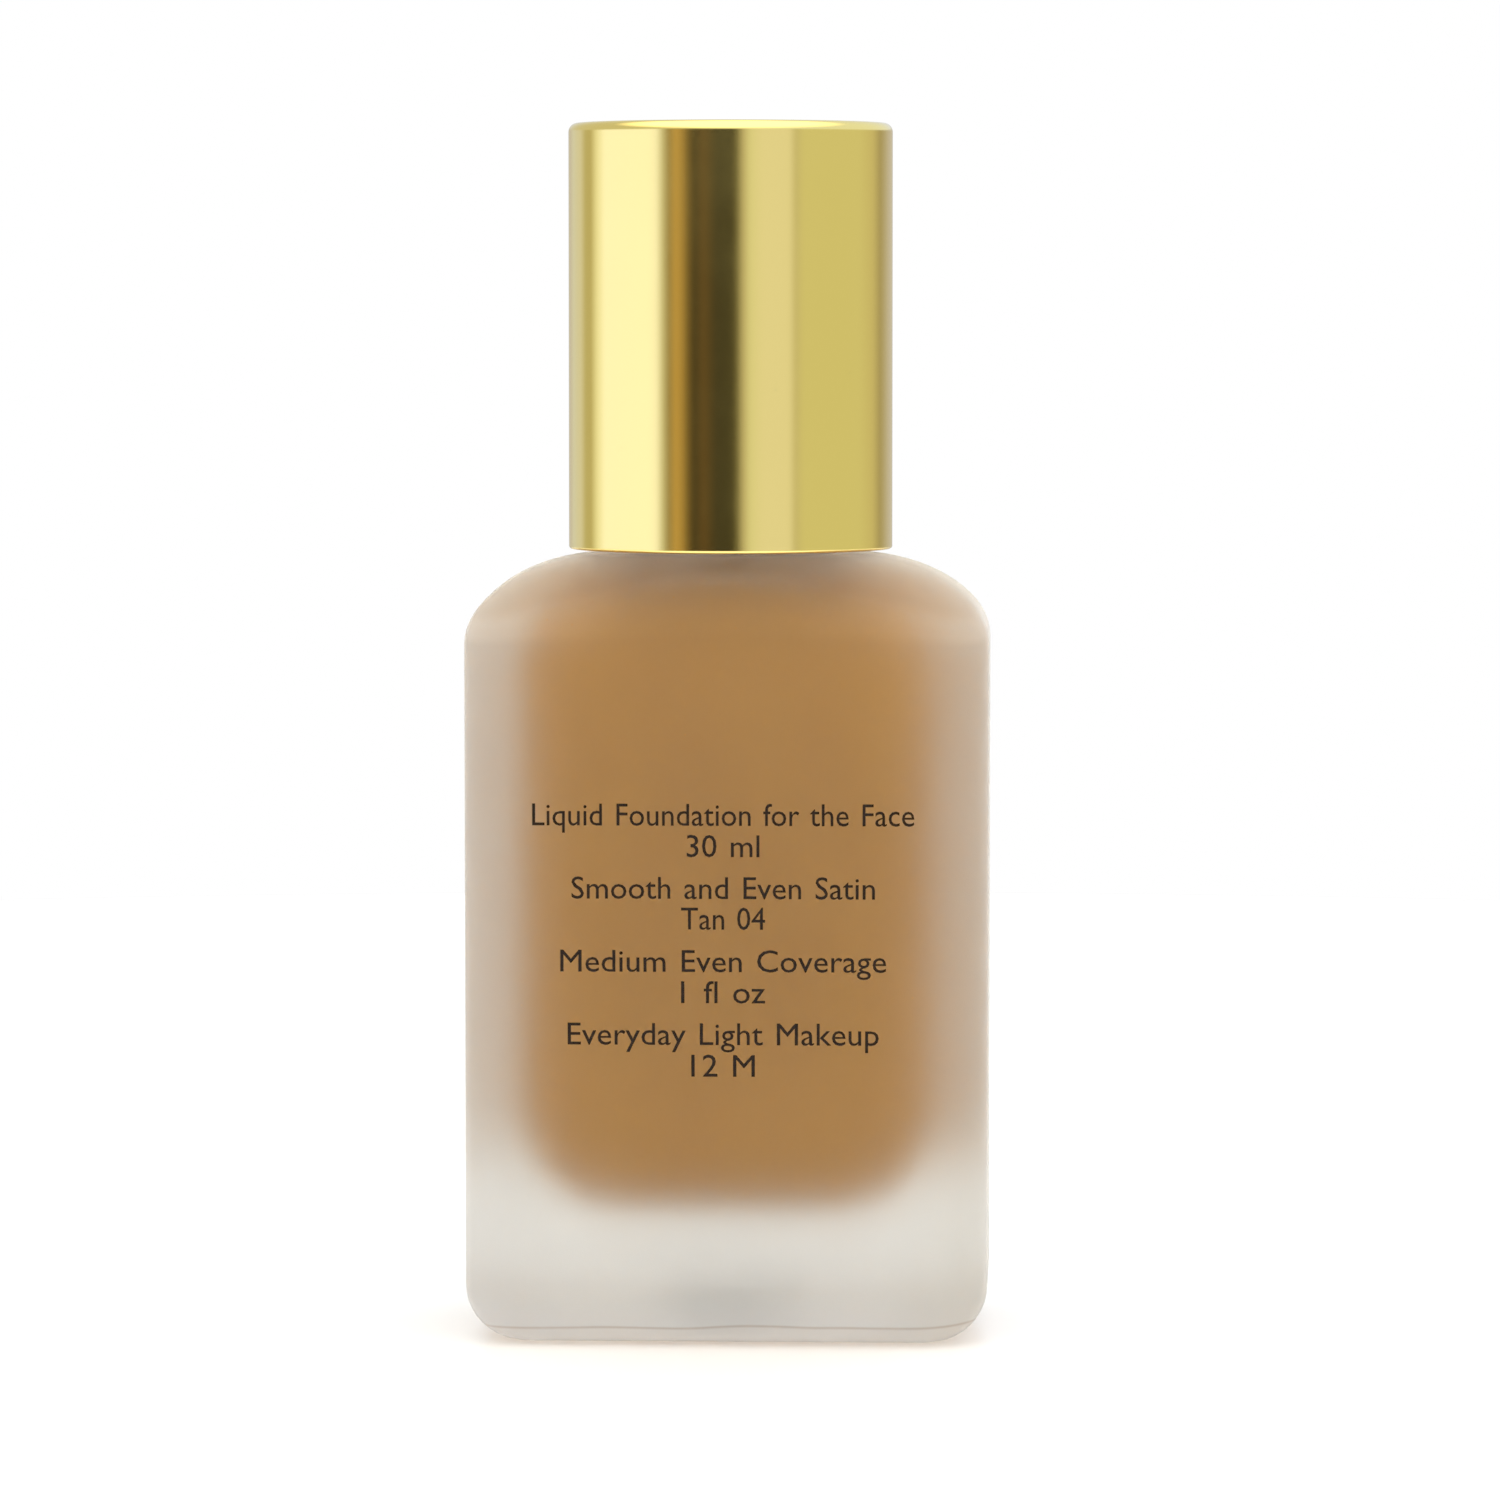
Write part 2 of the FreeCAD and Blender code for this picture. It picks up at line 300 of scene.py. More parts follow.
def dome(piece, half, radius, low, high, steps):
    """Closes the block's upper face in to a round neck along a quarter ellipse."""
    choose(piece, "FACE", lambda f: f.normal.z > LEVEL)
    rounded = 0
    for step in range(1, steps + 1):
        turn = math.pi / 2 * step / steps
        share = 1 - math.cos(turn)
        size = [h + (radius - h) * share for h in half]
        level = low + (high - low) * math.sin(turn)
        step_to(piece, *size, level)
        bpy.ops.transform.tosphere(value=(share - rounded) / (1 - rounded),
                                   center_override=(0, 0, level))
        rounded = share
        fit_loop(piece, *size)


def arc(radius_centre, z_centre, size, first, last, steps):
    """Points (radius, z) along an arc. The angles are in degrees, and 0 points outwards."""
    turns = [math.radians(first + (last - first) * n / steps) for n in range(1, steps + 1)]
    return [(radius_centre + size * math.cos(t), z_centre + size * math.sin(t)) for t in turns]


def climb(piece, points):
    """Extrudes the selected level round face through a list of (radius, z)."""
    for radius, z in points:
        step_to(piece, radius, radius, z)


def cavity_block(name, spread):
    """The space inside the glass up to the start of the shoulder, or a filling a little larger than it.
    """
    half = (CAVITY_HALF[0] + spread, CAVITY_HALF[1] + spread)
    low = CAVITY_FLOOR + CAVITY_FLOOR_RISE
    piece = rounded_block(name, half, CAVITY_CORNER, low, CAVITY_SHOULDER)
    choose(piece, "FACE", lambda f: f.normal.z < -LEVEL)
    for step in range(1, SHOULDER_STEPS + 1):
        turn = CAVITY_FLOOR_TURN * step / SHOULDER_STEPS
        share = 1 - math.cos(turn)
        step_to(piece, half[0] + (CAVITY_FLOOR_HALF[0] - half[0]) * share,
                half[1] + (CAVITY_FLOOR_HALF[1] - half[1]) * share,
                low - (CAVITY_FLOOR_RISE + spread) * math.sin(turn))
    return piece


glass = rounded_block("glass_body", BODY_HALF, CORNER, 0, WALL_TOP)
choose(glass, "EDGE", lambda e: max(v.co.z for v in e.verts) < MM)
bpy.ops.mesh.bevel(offset=HEEL, segments=HEEL_STEPS, affect="EDGES", clamp_overlap=False)
choose(glass, "FACE", lambda f: f.normal.z < -DEAD_LEVEL)
push_up_half = (BODY_HALF[0] - PUSH_UP_MARGIN, BODY_HALF[1] - PUSH_UP_MARGIN)
step_to(glass, *push_up_half, 0)
step_to(glass, *push_up_half, PUSH_UP)
flare_foot = NECK_RADIUS + NECK_FLARE
dome(glass, BODY_HALF, flare_foot, WALL_TOP, SHOULDER_TOP, SHOULDER_STEPS)
climb(glass, arc(flare_foot, SHOULDER_TOP + NECK_FLARE, NECK_FLARE, 270, 180, 8))
bead_middle = (BEAD_LOW + BEAD_HIGH) / 2
climb(glass, [(NECK_RADIUS, BEAD_LOW)])
climb(glass, arc(NECK_RADIUS, bead_middle, THREAD_DEPTH * BEAD_SHARE, -90, 90, 10)[1:-1])
climb(glass, [(NECK_RADIUS, BEAD_HIGH), (NECK_RADIUS, NECK_TOP - LIP - HOLD),
              (NECK_RADIUS, NECK_TOP - LIP)])
climb(glass, arc(NECK_RADIUS - LIP, NECK_TOP - LIP, LIP, 0, 90, 6))
climb(glass, [(BORE_RADIUS + MOUTH, NECK_TOP)])
climb(glass, arc(BORE_RADIUS + MOUTH, NECK_TOP - MOUTH, MOUTH, 90, 180, 5))
bpy.ops.mesh.delete(type="FACE")
bpy.ops.object.mode_set(mode="OBJECT")

hollow = cavity_block("glass_inside", 0)
dome(hollow, CAVITY_HALF, BORE_RADIUS, CAVITY_SHOULDER, CAVITY_TOP, SHOULDER_STEPS)
climb(hollow, [(BORE_RADIUS, NECK_TOP - 2 * MOUTH)])
bpy.ops.mesh.delete(type="FACE")
bpy.ops.mesh.select_all(action="SELECT")
bpy.ops.mesh.flip_normals()
bpy.ops.object.mode_set(mode="OBJECT")
hollow.select_set(True)
glass.select_set(True)
bpy.context.view_layer.objects.active = glass
bpy.ops.object.join()
bpy.ops.object.mode_set(mode="EDIT")
bpy.ops.mesh.select_mode(type="EDGE")
bpy.ops.mesh.select_all(action="DESELECT")
bpy.ops.mesh.select_non_manifold()
bpy.ops.mesh.bridge_edge_loops()
bpy.ops.object.mode_set(mode="OBJECT")

THREAD_LOW = NECK_TOP - THREAD_BELOW_LIP - THREAD_CREST_HALF - PITCH * THREAD_TURNS
bpy.ops.object.select_all(action="DESELECT")
root = Vector((NECK_RADIUS - THREAD_SUNK, 0, THREAD_LOW))
bpy.ops.mesh.primitive_plane_add(size=1, location=root + Vector((0.5, 0, 0)),
                                 rotation=(math.pi / 2, 0, 0))
thread = start("neck_thread")
bpy.ops.transform.resize(value=(THREAD_DEPTH + THREAD_SUNK, 1, 2 * THREAD_FOOT_HALF),
                         center_override=root)
choose(thread, "VERT", lambda v: v.co.x > NECK_RADIUS)
bpy.ops.transform.resize(value=(1, 1, THREAD_CREST_HALF / THREAD_FOOT_HALF), center_override=root)
choose(thread, "FACE", lambda f: True)
steps = round(THREAD_STEPS_PER_TURN * THREAD_TURNS)
size = 1 / THREAD_RUN_OUT
bpy.ops.transform.resize(value=(size, size, size), center_override=root)
turn = 2 * math.pi / THREAD_STEPS_PER_TURN
rise = PITCH / THREAD_STEPS_PER_TURN
for step in range(1, steps + 1):
    bpy.ops.mesh.extrude_region_move(TRANSFORM_OT_translate={"value": (0, 0, rise)})
    bpy.ops.transform.rotate(value=-turn, orient_axis="Z", center_override=(0, 0, 0))
    grown = min(1, (step + 1) / THREAD_RUN_OUT, (steps + 1 - step) / THREAD_RUN_OUT)
    foot = Vector((root.x * math.cos(step * turn), root.x * math.sin(step * turn),
                   THREAD_LOW + PITCH * step / THREAD_STEPS_PER_TURN))
    bpy.ops.transform.resize(value=(grown / size, grown / size, grown / size), center_override=foot)
    size = grown
bpy.ops.mesh.select_all(action="SELECT")
bpy.ops.mesh.normals_make_consistent(inside=False)
bpy.ops.object.mode_set(mode="OBJECT")
join = glass.modifiers.new("thread", "BOOLEAN")
join.operation = "UNION"
join.solver = "EXACT"
join.object = thread
bpy.context.view_layer.objects.active = glass
bpy.ops.object.modifier_apply(modifier="thread")
bpy.data.objects.remove(thread)

bpy.ops.object.select_all(action="DESELECT")
glass.select_set(True)
bpy.context.view_layer.objects.active = glass
bpy.ops.object.shade_smooth_by_angle(angle=SMOOTH_ANGLE)


def fine_grain():
    """A node group for the very fine tooth of an etched, moulded or anodised surface."""
    group = bpy.data.node_groups.new("fine_grain", "ShaderNodeTree")
    for name, kind in [("Place", "NodeSocketVector"), ("Grains", "NodeSocketFloat"),
                       ("Roughness", "NodeSocketFloat"), ("Spread", "NodeSocketFloat")]:
        group.interface.new_socket(name, in_out="INPUT", socket_type=kind)
    for name in ("Roughness", "Height"):
        group.interface.new_socket(name, in_out="OUTPUT", socket_type="NodeSocketFloat")
    given = group.nodes.new("NodeGroupInput").outputs
    fine = add(group, "ShaderNodeTexNoise", {"Vector": given["Place"], "Scale": given["Grains"],
                                             "Detail": 3.0})
    wide_scale = add(group, "ShaderNodeMath", {0: given["Grains"], 1: 0.03}, operation="MULTIPLY")
    wide = add(group, "ShaderNodeTexNoise", {"Vector": given["Place"], "Scale": wide_scale.outputs[0],
                                             "Detail": 4.0})
    both = add(group, "ShaderNodeMath", {0: fine.outputs["Fac"], 1: wide.outputs["Fac"]},
               operation="ADD")
    centred = add(group, "ShaderNodeMath", {0: both.outputs[0], 1: 1.0}, operation="SUBTRACT")
    spread = add(group, "ShaderNodeMath", {0: centred.outputs[0], 1: given["Spread"]},
                 operation="MULTIPLY")
    rough = add(group, "ShaderNodeMath", {0: spread.outputs[0], 1: given["Roughness"]}, operation="ADD")
    add(group, "NodeGroupOutput", {"Roughness": rough.outputs[0], "Height": fine.outputs["Fac"]})
    return group


def specks():
    """A node group for sparse tiny specks of dust or shimmer on a surface."""
    group = bpy.data.node_groups.new("specks", "ShaderNodeTree")
    for name, kind in [("Place", "NodeSocketVector"), ("Cells", "NodeSocketFloat"),
                       ("Size", "NodeSocketFloat"), ("Share", "NodeSocketFloat"),
                       ("Surface", "NodeSocketColor"), ("Speck", "NodeSocketColor")]:
        group.interface.new_socket(name, in_out="INPUT", socket_type=kind)
    group.interface.new_socket("Color", in_out="OUTPUT", socket_type="NodeSocketColor")
    group.interface.new_socket("Mask", in_out="OUTPUT", socket_type="NodeSocketFloat")
    given = group.nodes.new("NodeGroupInput").outputs
    cells = add(group, "ShaderNodeTexVoronoi", {"Vector": given["Place"], "Scale": given["Cells"]})
    chance = add(group, "ShaderNodeSeparateColor", {"Color": cells.outputs["Color"]})
    chosen = add(group, "ShaderNodeMath", {0: chance.outputs["Red"], 1: given["Share"]},
                 operation="LESS_THAN")
    near = add(group, "ShaderNodeMapRange", {"Value": cells.outputs["Distance"],
                                             "From Min": given["Size"], "From Max": 0.0, "To Min": 0.0,
                                             "To Max": 1.0})
    mask = add(group, "ShaderNodeMath", {0: chosen.outputs[0], 1: near.outputs[0]},
               operation="MULTIPLY")
    colour = add(group, "ShaderNodeMix", {"Factor": mask.outputs[0], "A": given["Surface"],
                                          "B": given["Speck"]}, data_type="RGBA")
    add(group, "NodeGroupOutput", {"Color": colour.outputs["Result"], "Mask": mask.outputs[0]})
    return group


GRAIN = fine_grain()
SPECKS = specks()
# Painted light on the up-facing slope of the shoulder and painted shade close to the neck, under the
# cap.
SLOPE_PAINTED_LIGHT = (1.18, 1.19, 1.2)
NECK_FOOT_PAINTED_SHADE = (0.98, 0.9, 0.8)
# Where the painted shade line runs round the heel, low where the rounding faces down.
HEEL_LINE_HEIGHT = 1.7 * MM
HEEL_LINE_WAVE = 1.8 * MM
HEEL_LINE_HALF = 0.2 * MM
HEEL_SHADING_ZONE = 3.0 * MM  # the painted heel shading changes within this distance of the line

frosted = bpy.data.materials.new("frosted_glass")
tree = node_tree(frosted)
spot = add(tree, "ShaderNodeTexCoord").outputs["Object"]
grain = add(tree, "ShaderNodeGroup", {"Place": spot, "Grains": 9000.0, "Roughness": FROST,
                                      "Spread": 0.12}, node_tree=GRAIN)
# A fine wavy brown line of painted shade runs round the heel, low where the rounding faces down, with a
# paler band of painted light above it and a darker painted shade below it over the heel and base. The
# line also sinks the bump.
axes = add(tree, "ShaderNodeSeparateXYZ", {"Vector": spot})
wander = add(tree, "ShaderNodeTexNoise", {"Vector": spot, "Scale": 55.0, "Detail": 1.5})
level = add(tree, "ShaderNodeMath", {0: wander.outputs["Fac"], 1: HEEL_LINE_WAVE,
                                     2: HEEL_LINE_HEIGHT - HEEL_LINE_WAVE / 2}, operation="MULTIPLY_ADD")
above = add(tree, "ShaderNodeMath", {0: axes.outputs["Z"], 1: level.outputs[0]}, operation="SUBTRACT")
off = add(tree, "ShaderNodeMath", {0: above.outputs[0]}, operation="ABSOLUTE")
shade_line_and_groove = add(tree, "ShaderNodeMapRange", {"Value": off.outputs[0], "From Min": HEEL_LINE_HALF,
                                        "From Max": 0.0})
zone = add(tree, "ShaderNodeMapRange", {"Value": above.outputs[0], "From Min": -HEEL_SHADING_ZONE,
                                        "From Max": HEEL_SHADING_ZONE})
painted_heel_shading = ramp(tree, zone.outputs[0], [(0.0, HEEL_PAINTED_SHADE), (0.46, HEEL_PAINTED_SHADE), (0.54, HEEL_BAND_PAINTED_LIGHT),
                                    (0.7, HEEL_BAND_PAINTED_LIGHT), (0.85, GLASS_TINT)])
heel_shading_painted = add(tree, "ShaderNodeMix", {"Factor": shade_line_and_groove.outputs[0], "A": painted_heel_shading, "B": HEEL_LINE_PAINTED_SHADE},
             data_type="RGBA")
outwards = add(tree, "ShaderNodeNewGeometry").outputs["Normal"]
facing = add(tree, "ShaderNodeSeparateXYZ", {"Vector": outwards})
upward = add(tree, "ShaderNodeMapRange", {"Value": facing.outputs["Z"], "From Min": 0.1,
                                          "From Max": 0.6, "To Min": 0.012, "To Max": 0.2})
# Painted light makes the glass paler on the up-facing slope of the shoulder, and painted shade darkens
# it close to the neck, under the cap's rim.
painted_slope_shading = ramp(tree, facing.outputs["Z"], [(0.03, (1, 1, 1)), (0.25, SLOPE_PAINTED_LIGHT),
                                               (0.42, SLOPE_PAINTED_LIGHT), (0.72, NECK_FOOT_PAINTED_SHADE)])
tint_with_painted_shading = add(tree, "ShaderNodeMix", {"Factor": 1.0, "A": heel_shading_painted.outputs["Result"], "B": painted_slope_shading},
             data_type="RGBA", blend_type="MULTIPLY")
shimmer = add(tree, "ShaderNodeGroup", {"Place": spot, "Cells": 900.0, "Size": 0.11,
                                        "Share": upward.outputs[0], "Surface": tint_with_painted_shading.outputs["Result"],
                                        "Speck": (1.0, 0.86, 0.6, 1)}, node_tree=SPECKS)
height = add(tree, "ShaderNodeMath", {0: grain.outputs["Height"], 1: shade_line_and_groove.outputs[0]},
             operation="SUBTRACT")
bump = add(tree, "ShaderNodeBump", {"Height": height.outputs[0], "Strength": 0.35,
                                    "Distance": 0.03 * MM})
shader = add(tree, "ShaderNodeBsdfPrincipled", {"Base Color": shimmer.outputs["Color"],
                                                "Roughness": grain.outputs["Roughness"],
                                                "Normal": bump.outputs[0],
                                                "Transmission Weight": 1.0, "IOR": GLASS_INDEX,
                                                "Sheen Weight": 0.4, "Sheen Roughness": 0.45})
add(tree, "ShaderNodeOutputMaterial", {"Surface": shader.outputs[0]})
glass.data.materials.append(frosted)

# The inside is fire-polished, with only faint ripples from the blowing.
polished = bpy.data.materials.new("polished_glass")
tree = node_tree(polished)
spot = add(tree, "ShaderNodeTexCoord").outputs["Object"]
ripple = add(tree, "ShaderNodeTexNoise", {"Vector": spot, "Scale": 260.0, "Detail": 2.0})
grain = add(tree, "ShaderNodeGroup", {"Place": spot, "Grains": 3000.0, "Roughness": 0.06,
                                      "Spread": 0.04}, node_tree=GRAIN)
bump = add(tree, "ShaderNodeBump", {"Height": ripple.outputs["Fac"], "Strength": 0.3,
                                    "Distance": 0.1 * MM})
shader = add(tree, "ShaderNodeBsdfPrincipled", {"Base Color": (0.97, 0.97, 0.95, 1),
                                                "Roughness": grain.outputs["Roughness"],
                                                "Normal": bump.outputs[0],
                                                "Transmission Weight": 1.0, "IOR": GLASS_INDEX})
add(tree, "ShaderNodeOutputMaterial", {"Surface": shader.outputs[0]})
glass.data.materials.append(polished)


def is_inside(face):
    """True for the faces of the cavity and of the bore."""
    centre = face.calc_center_median()
    radius = math.hypot(centre.x, centre.y)
    if centre.z > SHOULDER_TOP:
        return radius < BORE_RADIUS + 0.05 * MM
    towards_middle = face.normal.x * centre.x + face.normal.y * centre.y < 0
    return CAVITY_FLOOR - 0.1 * MM < centre.z < CAVITY_TOP + 0.1 * MM and (
        towards_middle or (centre.z < CAVITY_FLOOR + 0.1 * MM) or radius < NECK_RADIUS)


bpy.ops.object.mode_set(mode="EDIT")
choose(glass, "FACE", is_inside)
glass.active_material_index = 1
bpy.ops.object.material_slot_assign()
bpy.ops.object.mode_set(mode="OBJECT")
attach(glass, "bottle")
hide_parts("glass_bottle")


# ---- Face print ------------------------------------------------------------------------------------
# Four short pairs of plain words, screen printed and fired on the front of the glass in a nearly
# black brown enamel. The film stands a few hundredths of a millimetre proud.
LETTER_HEIGHT = 1.95 * MM
INK_FILM = 0.02 * MM
INK_LIFT = 0.005 * MM
INK_DARK = (0.012, 0.007, 0.005)
INK_THIN = (0.022, 0.013, 0.009)
CAPITAL_SHARE = 0.69  # a capital's height as a share of the type size
LINES = [("Liquid Foundation for the Face", 46.35 * MM, 33.6 * MM), ("30 ml", 43.6 * MM, 6.4 * MM),
         ("Smooth and Even Satin", 39.9 * MM, 26.7 * MM), ("Tan 04", 37.2 * MM, 7.4 * MM),
         ("Medium Even Coverage", 33.45 * MM, 28.7 * MM), ("1 fl oz", 30.7 * MM, 7.4 * MM),
         ("Everyday Light Makeup", 27.0 * MM, 27.4 * MM), ("12 M", 24.2 * MM, 5.6 * MM)]


def lettering(name, words, width, letter_height, film):
    """A line of raised letters as a mesh, flat on XY, centred, on its baseline and of a given width."""
    bpy.ops.object.select_all(action="DESELECT")
    bpy.ops.object.text_add(location=(0, 0, 0))
    line = bpy.context.object
    line.data.body = words
    line.data.align_x = "CENTER"
    line.data.space_word = 1.25
    line.data.resolution_u = 3
    line.data.size = letter_height / CAPITAL_SHARE
    line.data.extrude = film / 2
    bpy.ops.object.convert(target="MESH")
    line = bpy.context.object
    line.name = name
    line.data.name = name
    bpy.ops.object.mode_set(mode="EDIT")
    bpy.ops.mesh.select_all(action="SELECT")
    bpy.ops.mesh.remove_doubles(threshold=0.0005 * MM)
    ends = [v.co.x for v in bmesh.from_edit_mesh(line.data).verts]
    middle = ((min(ends) + max(ends)) / 2, 0, 0)
    bpy.ops.transform.resize(value=(width / (max(ends) - min(ends)), 1, 1), center_override=middle)
    bpy.ops.transform.translate(value=(-middle[0], 0, 0))
    bpy.ops.object.mode_set(mode="OBJECT")
    return line


printed = []
for number, (words, baseline, width) in enumerate(LINES):
    line = lettering("print_line_%d" % number, words, width, LETTER_HEIGHT, INK_FILM)
    line.location = (0, -BODY_HALF[1] - INK_LIFT - INK_FILM / 2, baseline)
    line.rotation_euler = (math.pi / 2, 0, 0)
    bpy.ops.object.transform_apply(location=True, rotation=True, scale=True)
    printed.append(line)
bpy.ops.object.select_all(action="DESELECT")
for line in printed:
    line.select_set(True)
bpy.context.view_layer.objects.active = printed[0]
bpy.ops.object.join()
face_print = printed[0]
face_print.name = "face_print"
face_print.data.name = "face_print"

ink = bpy.data.materials.new("brown_enamel")
tree = node_tree(ink)
spot = add(tree, "ShaderNodeTexCoord").outputs["Object"]
grain = add(tree, "ShaderNodeGroup", {"Place": spot, "Grains": 12000.0, "Roughness": 0.5,
                                      "Spread": 0.25}, node_tree=GRAIN)
patches = add(tree, "ShaderNodeTexNoise", {"Vector": spot, "Scale": 2500.0, "Detail": 3.0})
brown = ramp(tree, patches.outputs["Fac"], [(0.35, INK_DARK), (0.75, INK_THIN)])
bump = add(tree, "ShaderNodeBump", {"Height": grain.outputs["Height"], "Strength": 0.4,
                                    "Distance": 0.01 * MM})
shader = add(tree, "ShaderNodeBsdfPrincipled", {"Base Color": brown,
                                                "Roughness": grain.outputs["Roughness"],
                                                "Specular IOR Level": 0.15, "Normal": bump.outputs[0]})
add(tree, "ShaderNodeOutputMaterial", {"Surface": shader.outputs[0]})
face_print.data.materials.append(ink)
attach(face_print, "bottle")


# ---- Foundation ------------------------------------------------------------------------------------
# An opaque tan emulsion that fills the cavity up to the foot of the neck. It wets the glass, so no
# second surface shows between the two, and its pigment is very slightly uneven.
WETTING = 0.05 * MM
TAN_DEEP = (0.372, 0.171, 0.01)
TAN_LIGHT = (0.397, 0.187, 0.012)
fluid = cavity_block("foundation", WETTING)
choose(fluid, "FACE", lambda f: f.normal.z > LEVEL)
dome(fluid, (CAVITY_HALF[0] + WETTING, CAVITY_HALF[1] + WETTING), BORE_RADIUS, CAVITY_SHOULDER,
     CAVITY_TOP, SHOULDER_STEPS)
bpy.ops.object.mode_set(mode="OBJECT")
bpy.ops.object.shade_smooth_by_angle(angle=SMOOTH_ANGLE)

tan = bpy.data.materials.new("foundation")
tree = node_tree(tan)
spot = add(tree, "ShaderNodeTexCoord").outputs["Object"]
streaks = add(tree, "ShaderNodeMapping", {"Vector": spot, "Scale": (1.0, 1.0, 0.35)})
pigment = add(tree, "ShaderNodeTexNoise", {"Vector": streaks.outputs[0], "Scale": 160.0, "Detail": 4.0,
                                           "Distortion": 0.6})
colour = ramp(tree, pigment.outputs["Fac"], [(0.3, TAN_DEEP), (0.7, TAN_LIGHT)])
grain = add(tree, "ShaderNodeGroup", {"Place": spot, "Grains": 5000.0, "Roughness": 0.45,
                                      "Spread": 0.1}, node_tree=GRAIN)
bump = add(tree, "ShaderNodeBump", {"Height": pigment.outputs["Fac"], "Strength": 0.1,
                                    "Distance": 0.1 * MM})
shader = add(tree, "ShaderNodeBsdfPrincipled", {"Base Color": colour,
                                                "Roughness": grain.outputs["Roughness"],
                                                "Normal": bump.outputs[0]})
add(tree, "ShaderNodeOutputMaterial", {"Surface": shader.outputs[0]})
fluid.data.materials.append(tan)
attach(fluid, "bottle")
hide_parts("foundation_fluid")


# ---- Label under the base --------------------------------------------------------------------------
# A round film label stuck in the push-up, with a printed ring and the fill and shade in plain words.
LABEL_LOW, LABEL_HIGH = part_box("base_label")
LABEL_RADIUS = LABEL_HIGH.x
LABEL_LETTER_HEIGHT = 1.5 * MM
LABEL_LINES = [("Tan 04", 1.2 * MM, 5.6 * MM), ("30 ml", -2.4 * MM, 5.2 * MM)]
FILM_WHITE = (0.82, 0.8, 0.74)
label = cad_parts["base_label"]
film = bpy.data.materials.new("label_film")
tree = node_tree(film)
spot = add(tree, "ShaderNodeTexCoord").outputs["Object"]
axes = add(tree, "ShaderNodeSeparateXYZ", {"Vector": spot})
flat = add(tree, "ShaderNodeCombineXYZ", {"X": axes.outputs["X"], "Y": axes.outputs["Y"]})
out = add(tree, "ShaderNodeVectorMath", {0: flat.outputs[0]}, operation="LENGTH")
ring = add(tree, "ShaderNodeMapRange", {"Value": out.outputs["Value"], "From Max": LABEL_RADIUS})
paper = ramp(tree, ring.outputs[0], [(0.0, FILM_WHITE), (0.86, FILM_WHITE), (0.87, TAN_LIGHT),
                                     (0.92, TAN_LIGHT), (0.93, FILM_WHITE)], "CONSTANT")
grain = add(tree, "ShaderNodeGroup", {"Place": spot, "Grains": 4000.0, "Roughness": 0.4, "Spread": 0.2},
            node_tree=GRAIN)
bump = add(tree, "ShaderNodeBump", {"Height": grain.outputs["Height"], "Strength": 0.3,
                                    "Distance": 0.02 * MM})
shader = add(tree, "ShaderNodeBsdfPrincipled", {"Base Color": paper,
                                                "Roughness": grain.outputs["Roughness"],
                                                "Normal": bump.outputs[0]})
add(tree, "ShaderNodeOutputMaterial", {"Surface": shader.outputs[0]})
label.data.materials.clear()
label.data.materials.append(film)

for number, (words, across, width) in enumerate(LABEL_LINES):
    line = lettering("label_line_%d" % number, words, width, LABEL_LETTER_HEIGHT, INK_FILM)
    line.location = (0, -across, LABEL_LOW.z - INK_LIFT - INK_FILM / 2)
    line.rotation_euler = (math.pi, 0, 0)
    bpy.ops.object.transform_apply(location=True, rotation=True, scale=True)
    line.data.materials.append(ink)
    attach(line, "bottle")


# ---- Cap shell -------------------------------------------------------------------------------------
# A cup deep-drawn from thin aluminium, polished and anodised gold, with its rim rolled in. The skin
# keeps a faint draw grain down its side, a few specks and a slightly worn crown and rim.
CAP_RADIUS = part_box("cap_shell")[1].x
CAP_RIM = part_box("cap_shell")[0].z
CAP_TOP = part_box("cap_shell")[1].z
SHELL_WALL = 0.5 * MM
SHELL_EDGE = 0.8 * MM
ROLLED_LIP = 0.7 * MM
SHELL_INSIDE = CAP_RADIUS - SHELL_WALL
SHELL_HOLD = 0.12 * MM
POLE = 0.5 * MM
GOLD = (0.94, 0.76, 0.26)
GOLD_WORN = (0.95, 0.83, 0.45)
GOLD_SPECK = (0.55, 0.42, 0.16, 1)


def turned_piece(name, points, segments):
    """A closed round piece: a circle extruded through (radius, z) points, both ends filled."""
    bpy.ops.object.select_all(action="DESELECT")
    radius, z = points[0]
    bpy.ops.mesh.primitive_circle_add(vertices=segments, radius=radius, location=(0, 0, z))
    piece = start(name)
    choose(piece, "EDGE", lambda e: True)
    climb(piece, points[1:])
    bpy.ops.mesh.select_all(action="DESELECT")
    bpy.ops.mesh.select_non_manifold()
    bpy.ops.mesh.fill_holes(sides=0)
    bpy.ops.mesh.select_all(action="SELECT")
    bpy.ops.mesh.normals_make_consistent(inside=False)
    bpy.ops.object.mode_set(mode="OBJECT")
    bpy.ops.object.shade_smooth_by_angle(angle=SMOOTH_ANGLE)
    return piece


roll = SHELL_WALL / 2
crown = CAP_RADIUS - SHELL_EDGE
lip = SHELL_INSIDE - ROLLED_LIP
shell_path = [(POLE, CAP_TOP), (crown - SHELL_HOLD, CAP_TOP), (crown, CAP_TOP)]
shell_path += arc(crown, CAP_TOP - SHELL_EDGE, SHELL_EDGE, 90, 0, 10)
shell_path += [(CAP_RADIUS, CAP_TOP - SHELL_EDGE - SHELL_HOLD),
               (CAP_RADIUS, CAP_RIM + roll + SHELL_HOLD), (CAP_RADIUS, CAP_RIM + roll)]
shell_path += arc(CAP_RADIUS - roll, CAP_RIM + roll, roll, 0, -90, 6)
shell_path += [(lip, CAP_RIM), (lip, CAP_RIM + SHELL_WALL), (SHELL_INSIDE, CAP_RIM + SHELL_WALL),
               (SHELL_INSIDE, CAP_TOP - SHELL_WALL), (POLE, CAP_TOP - SHELL_WALL)]
shell = turned_piece("gold_shell", shell_path, 192)


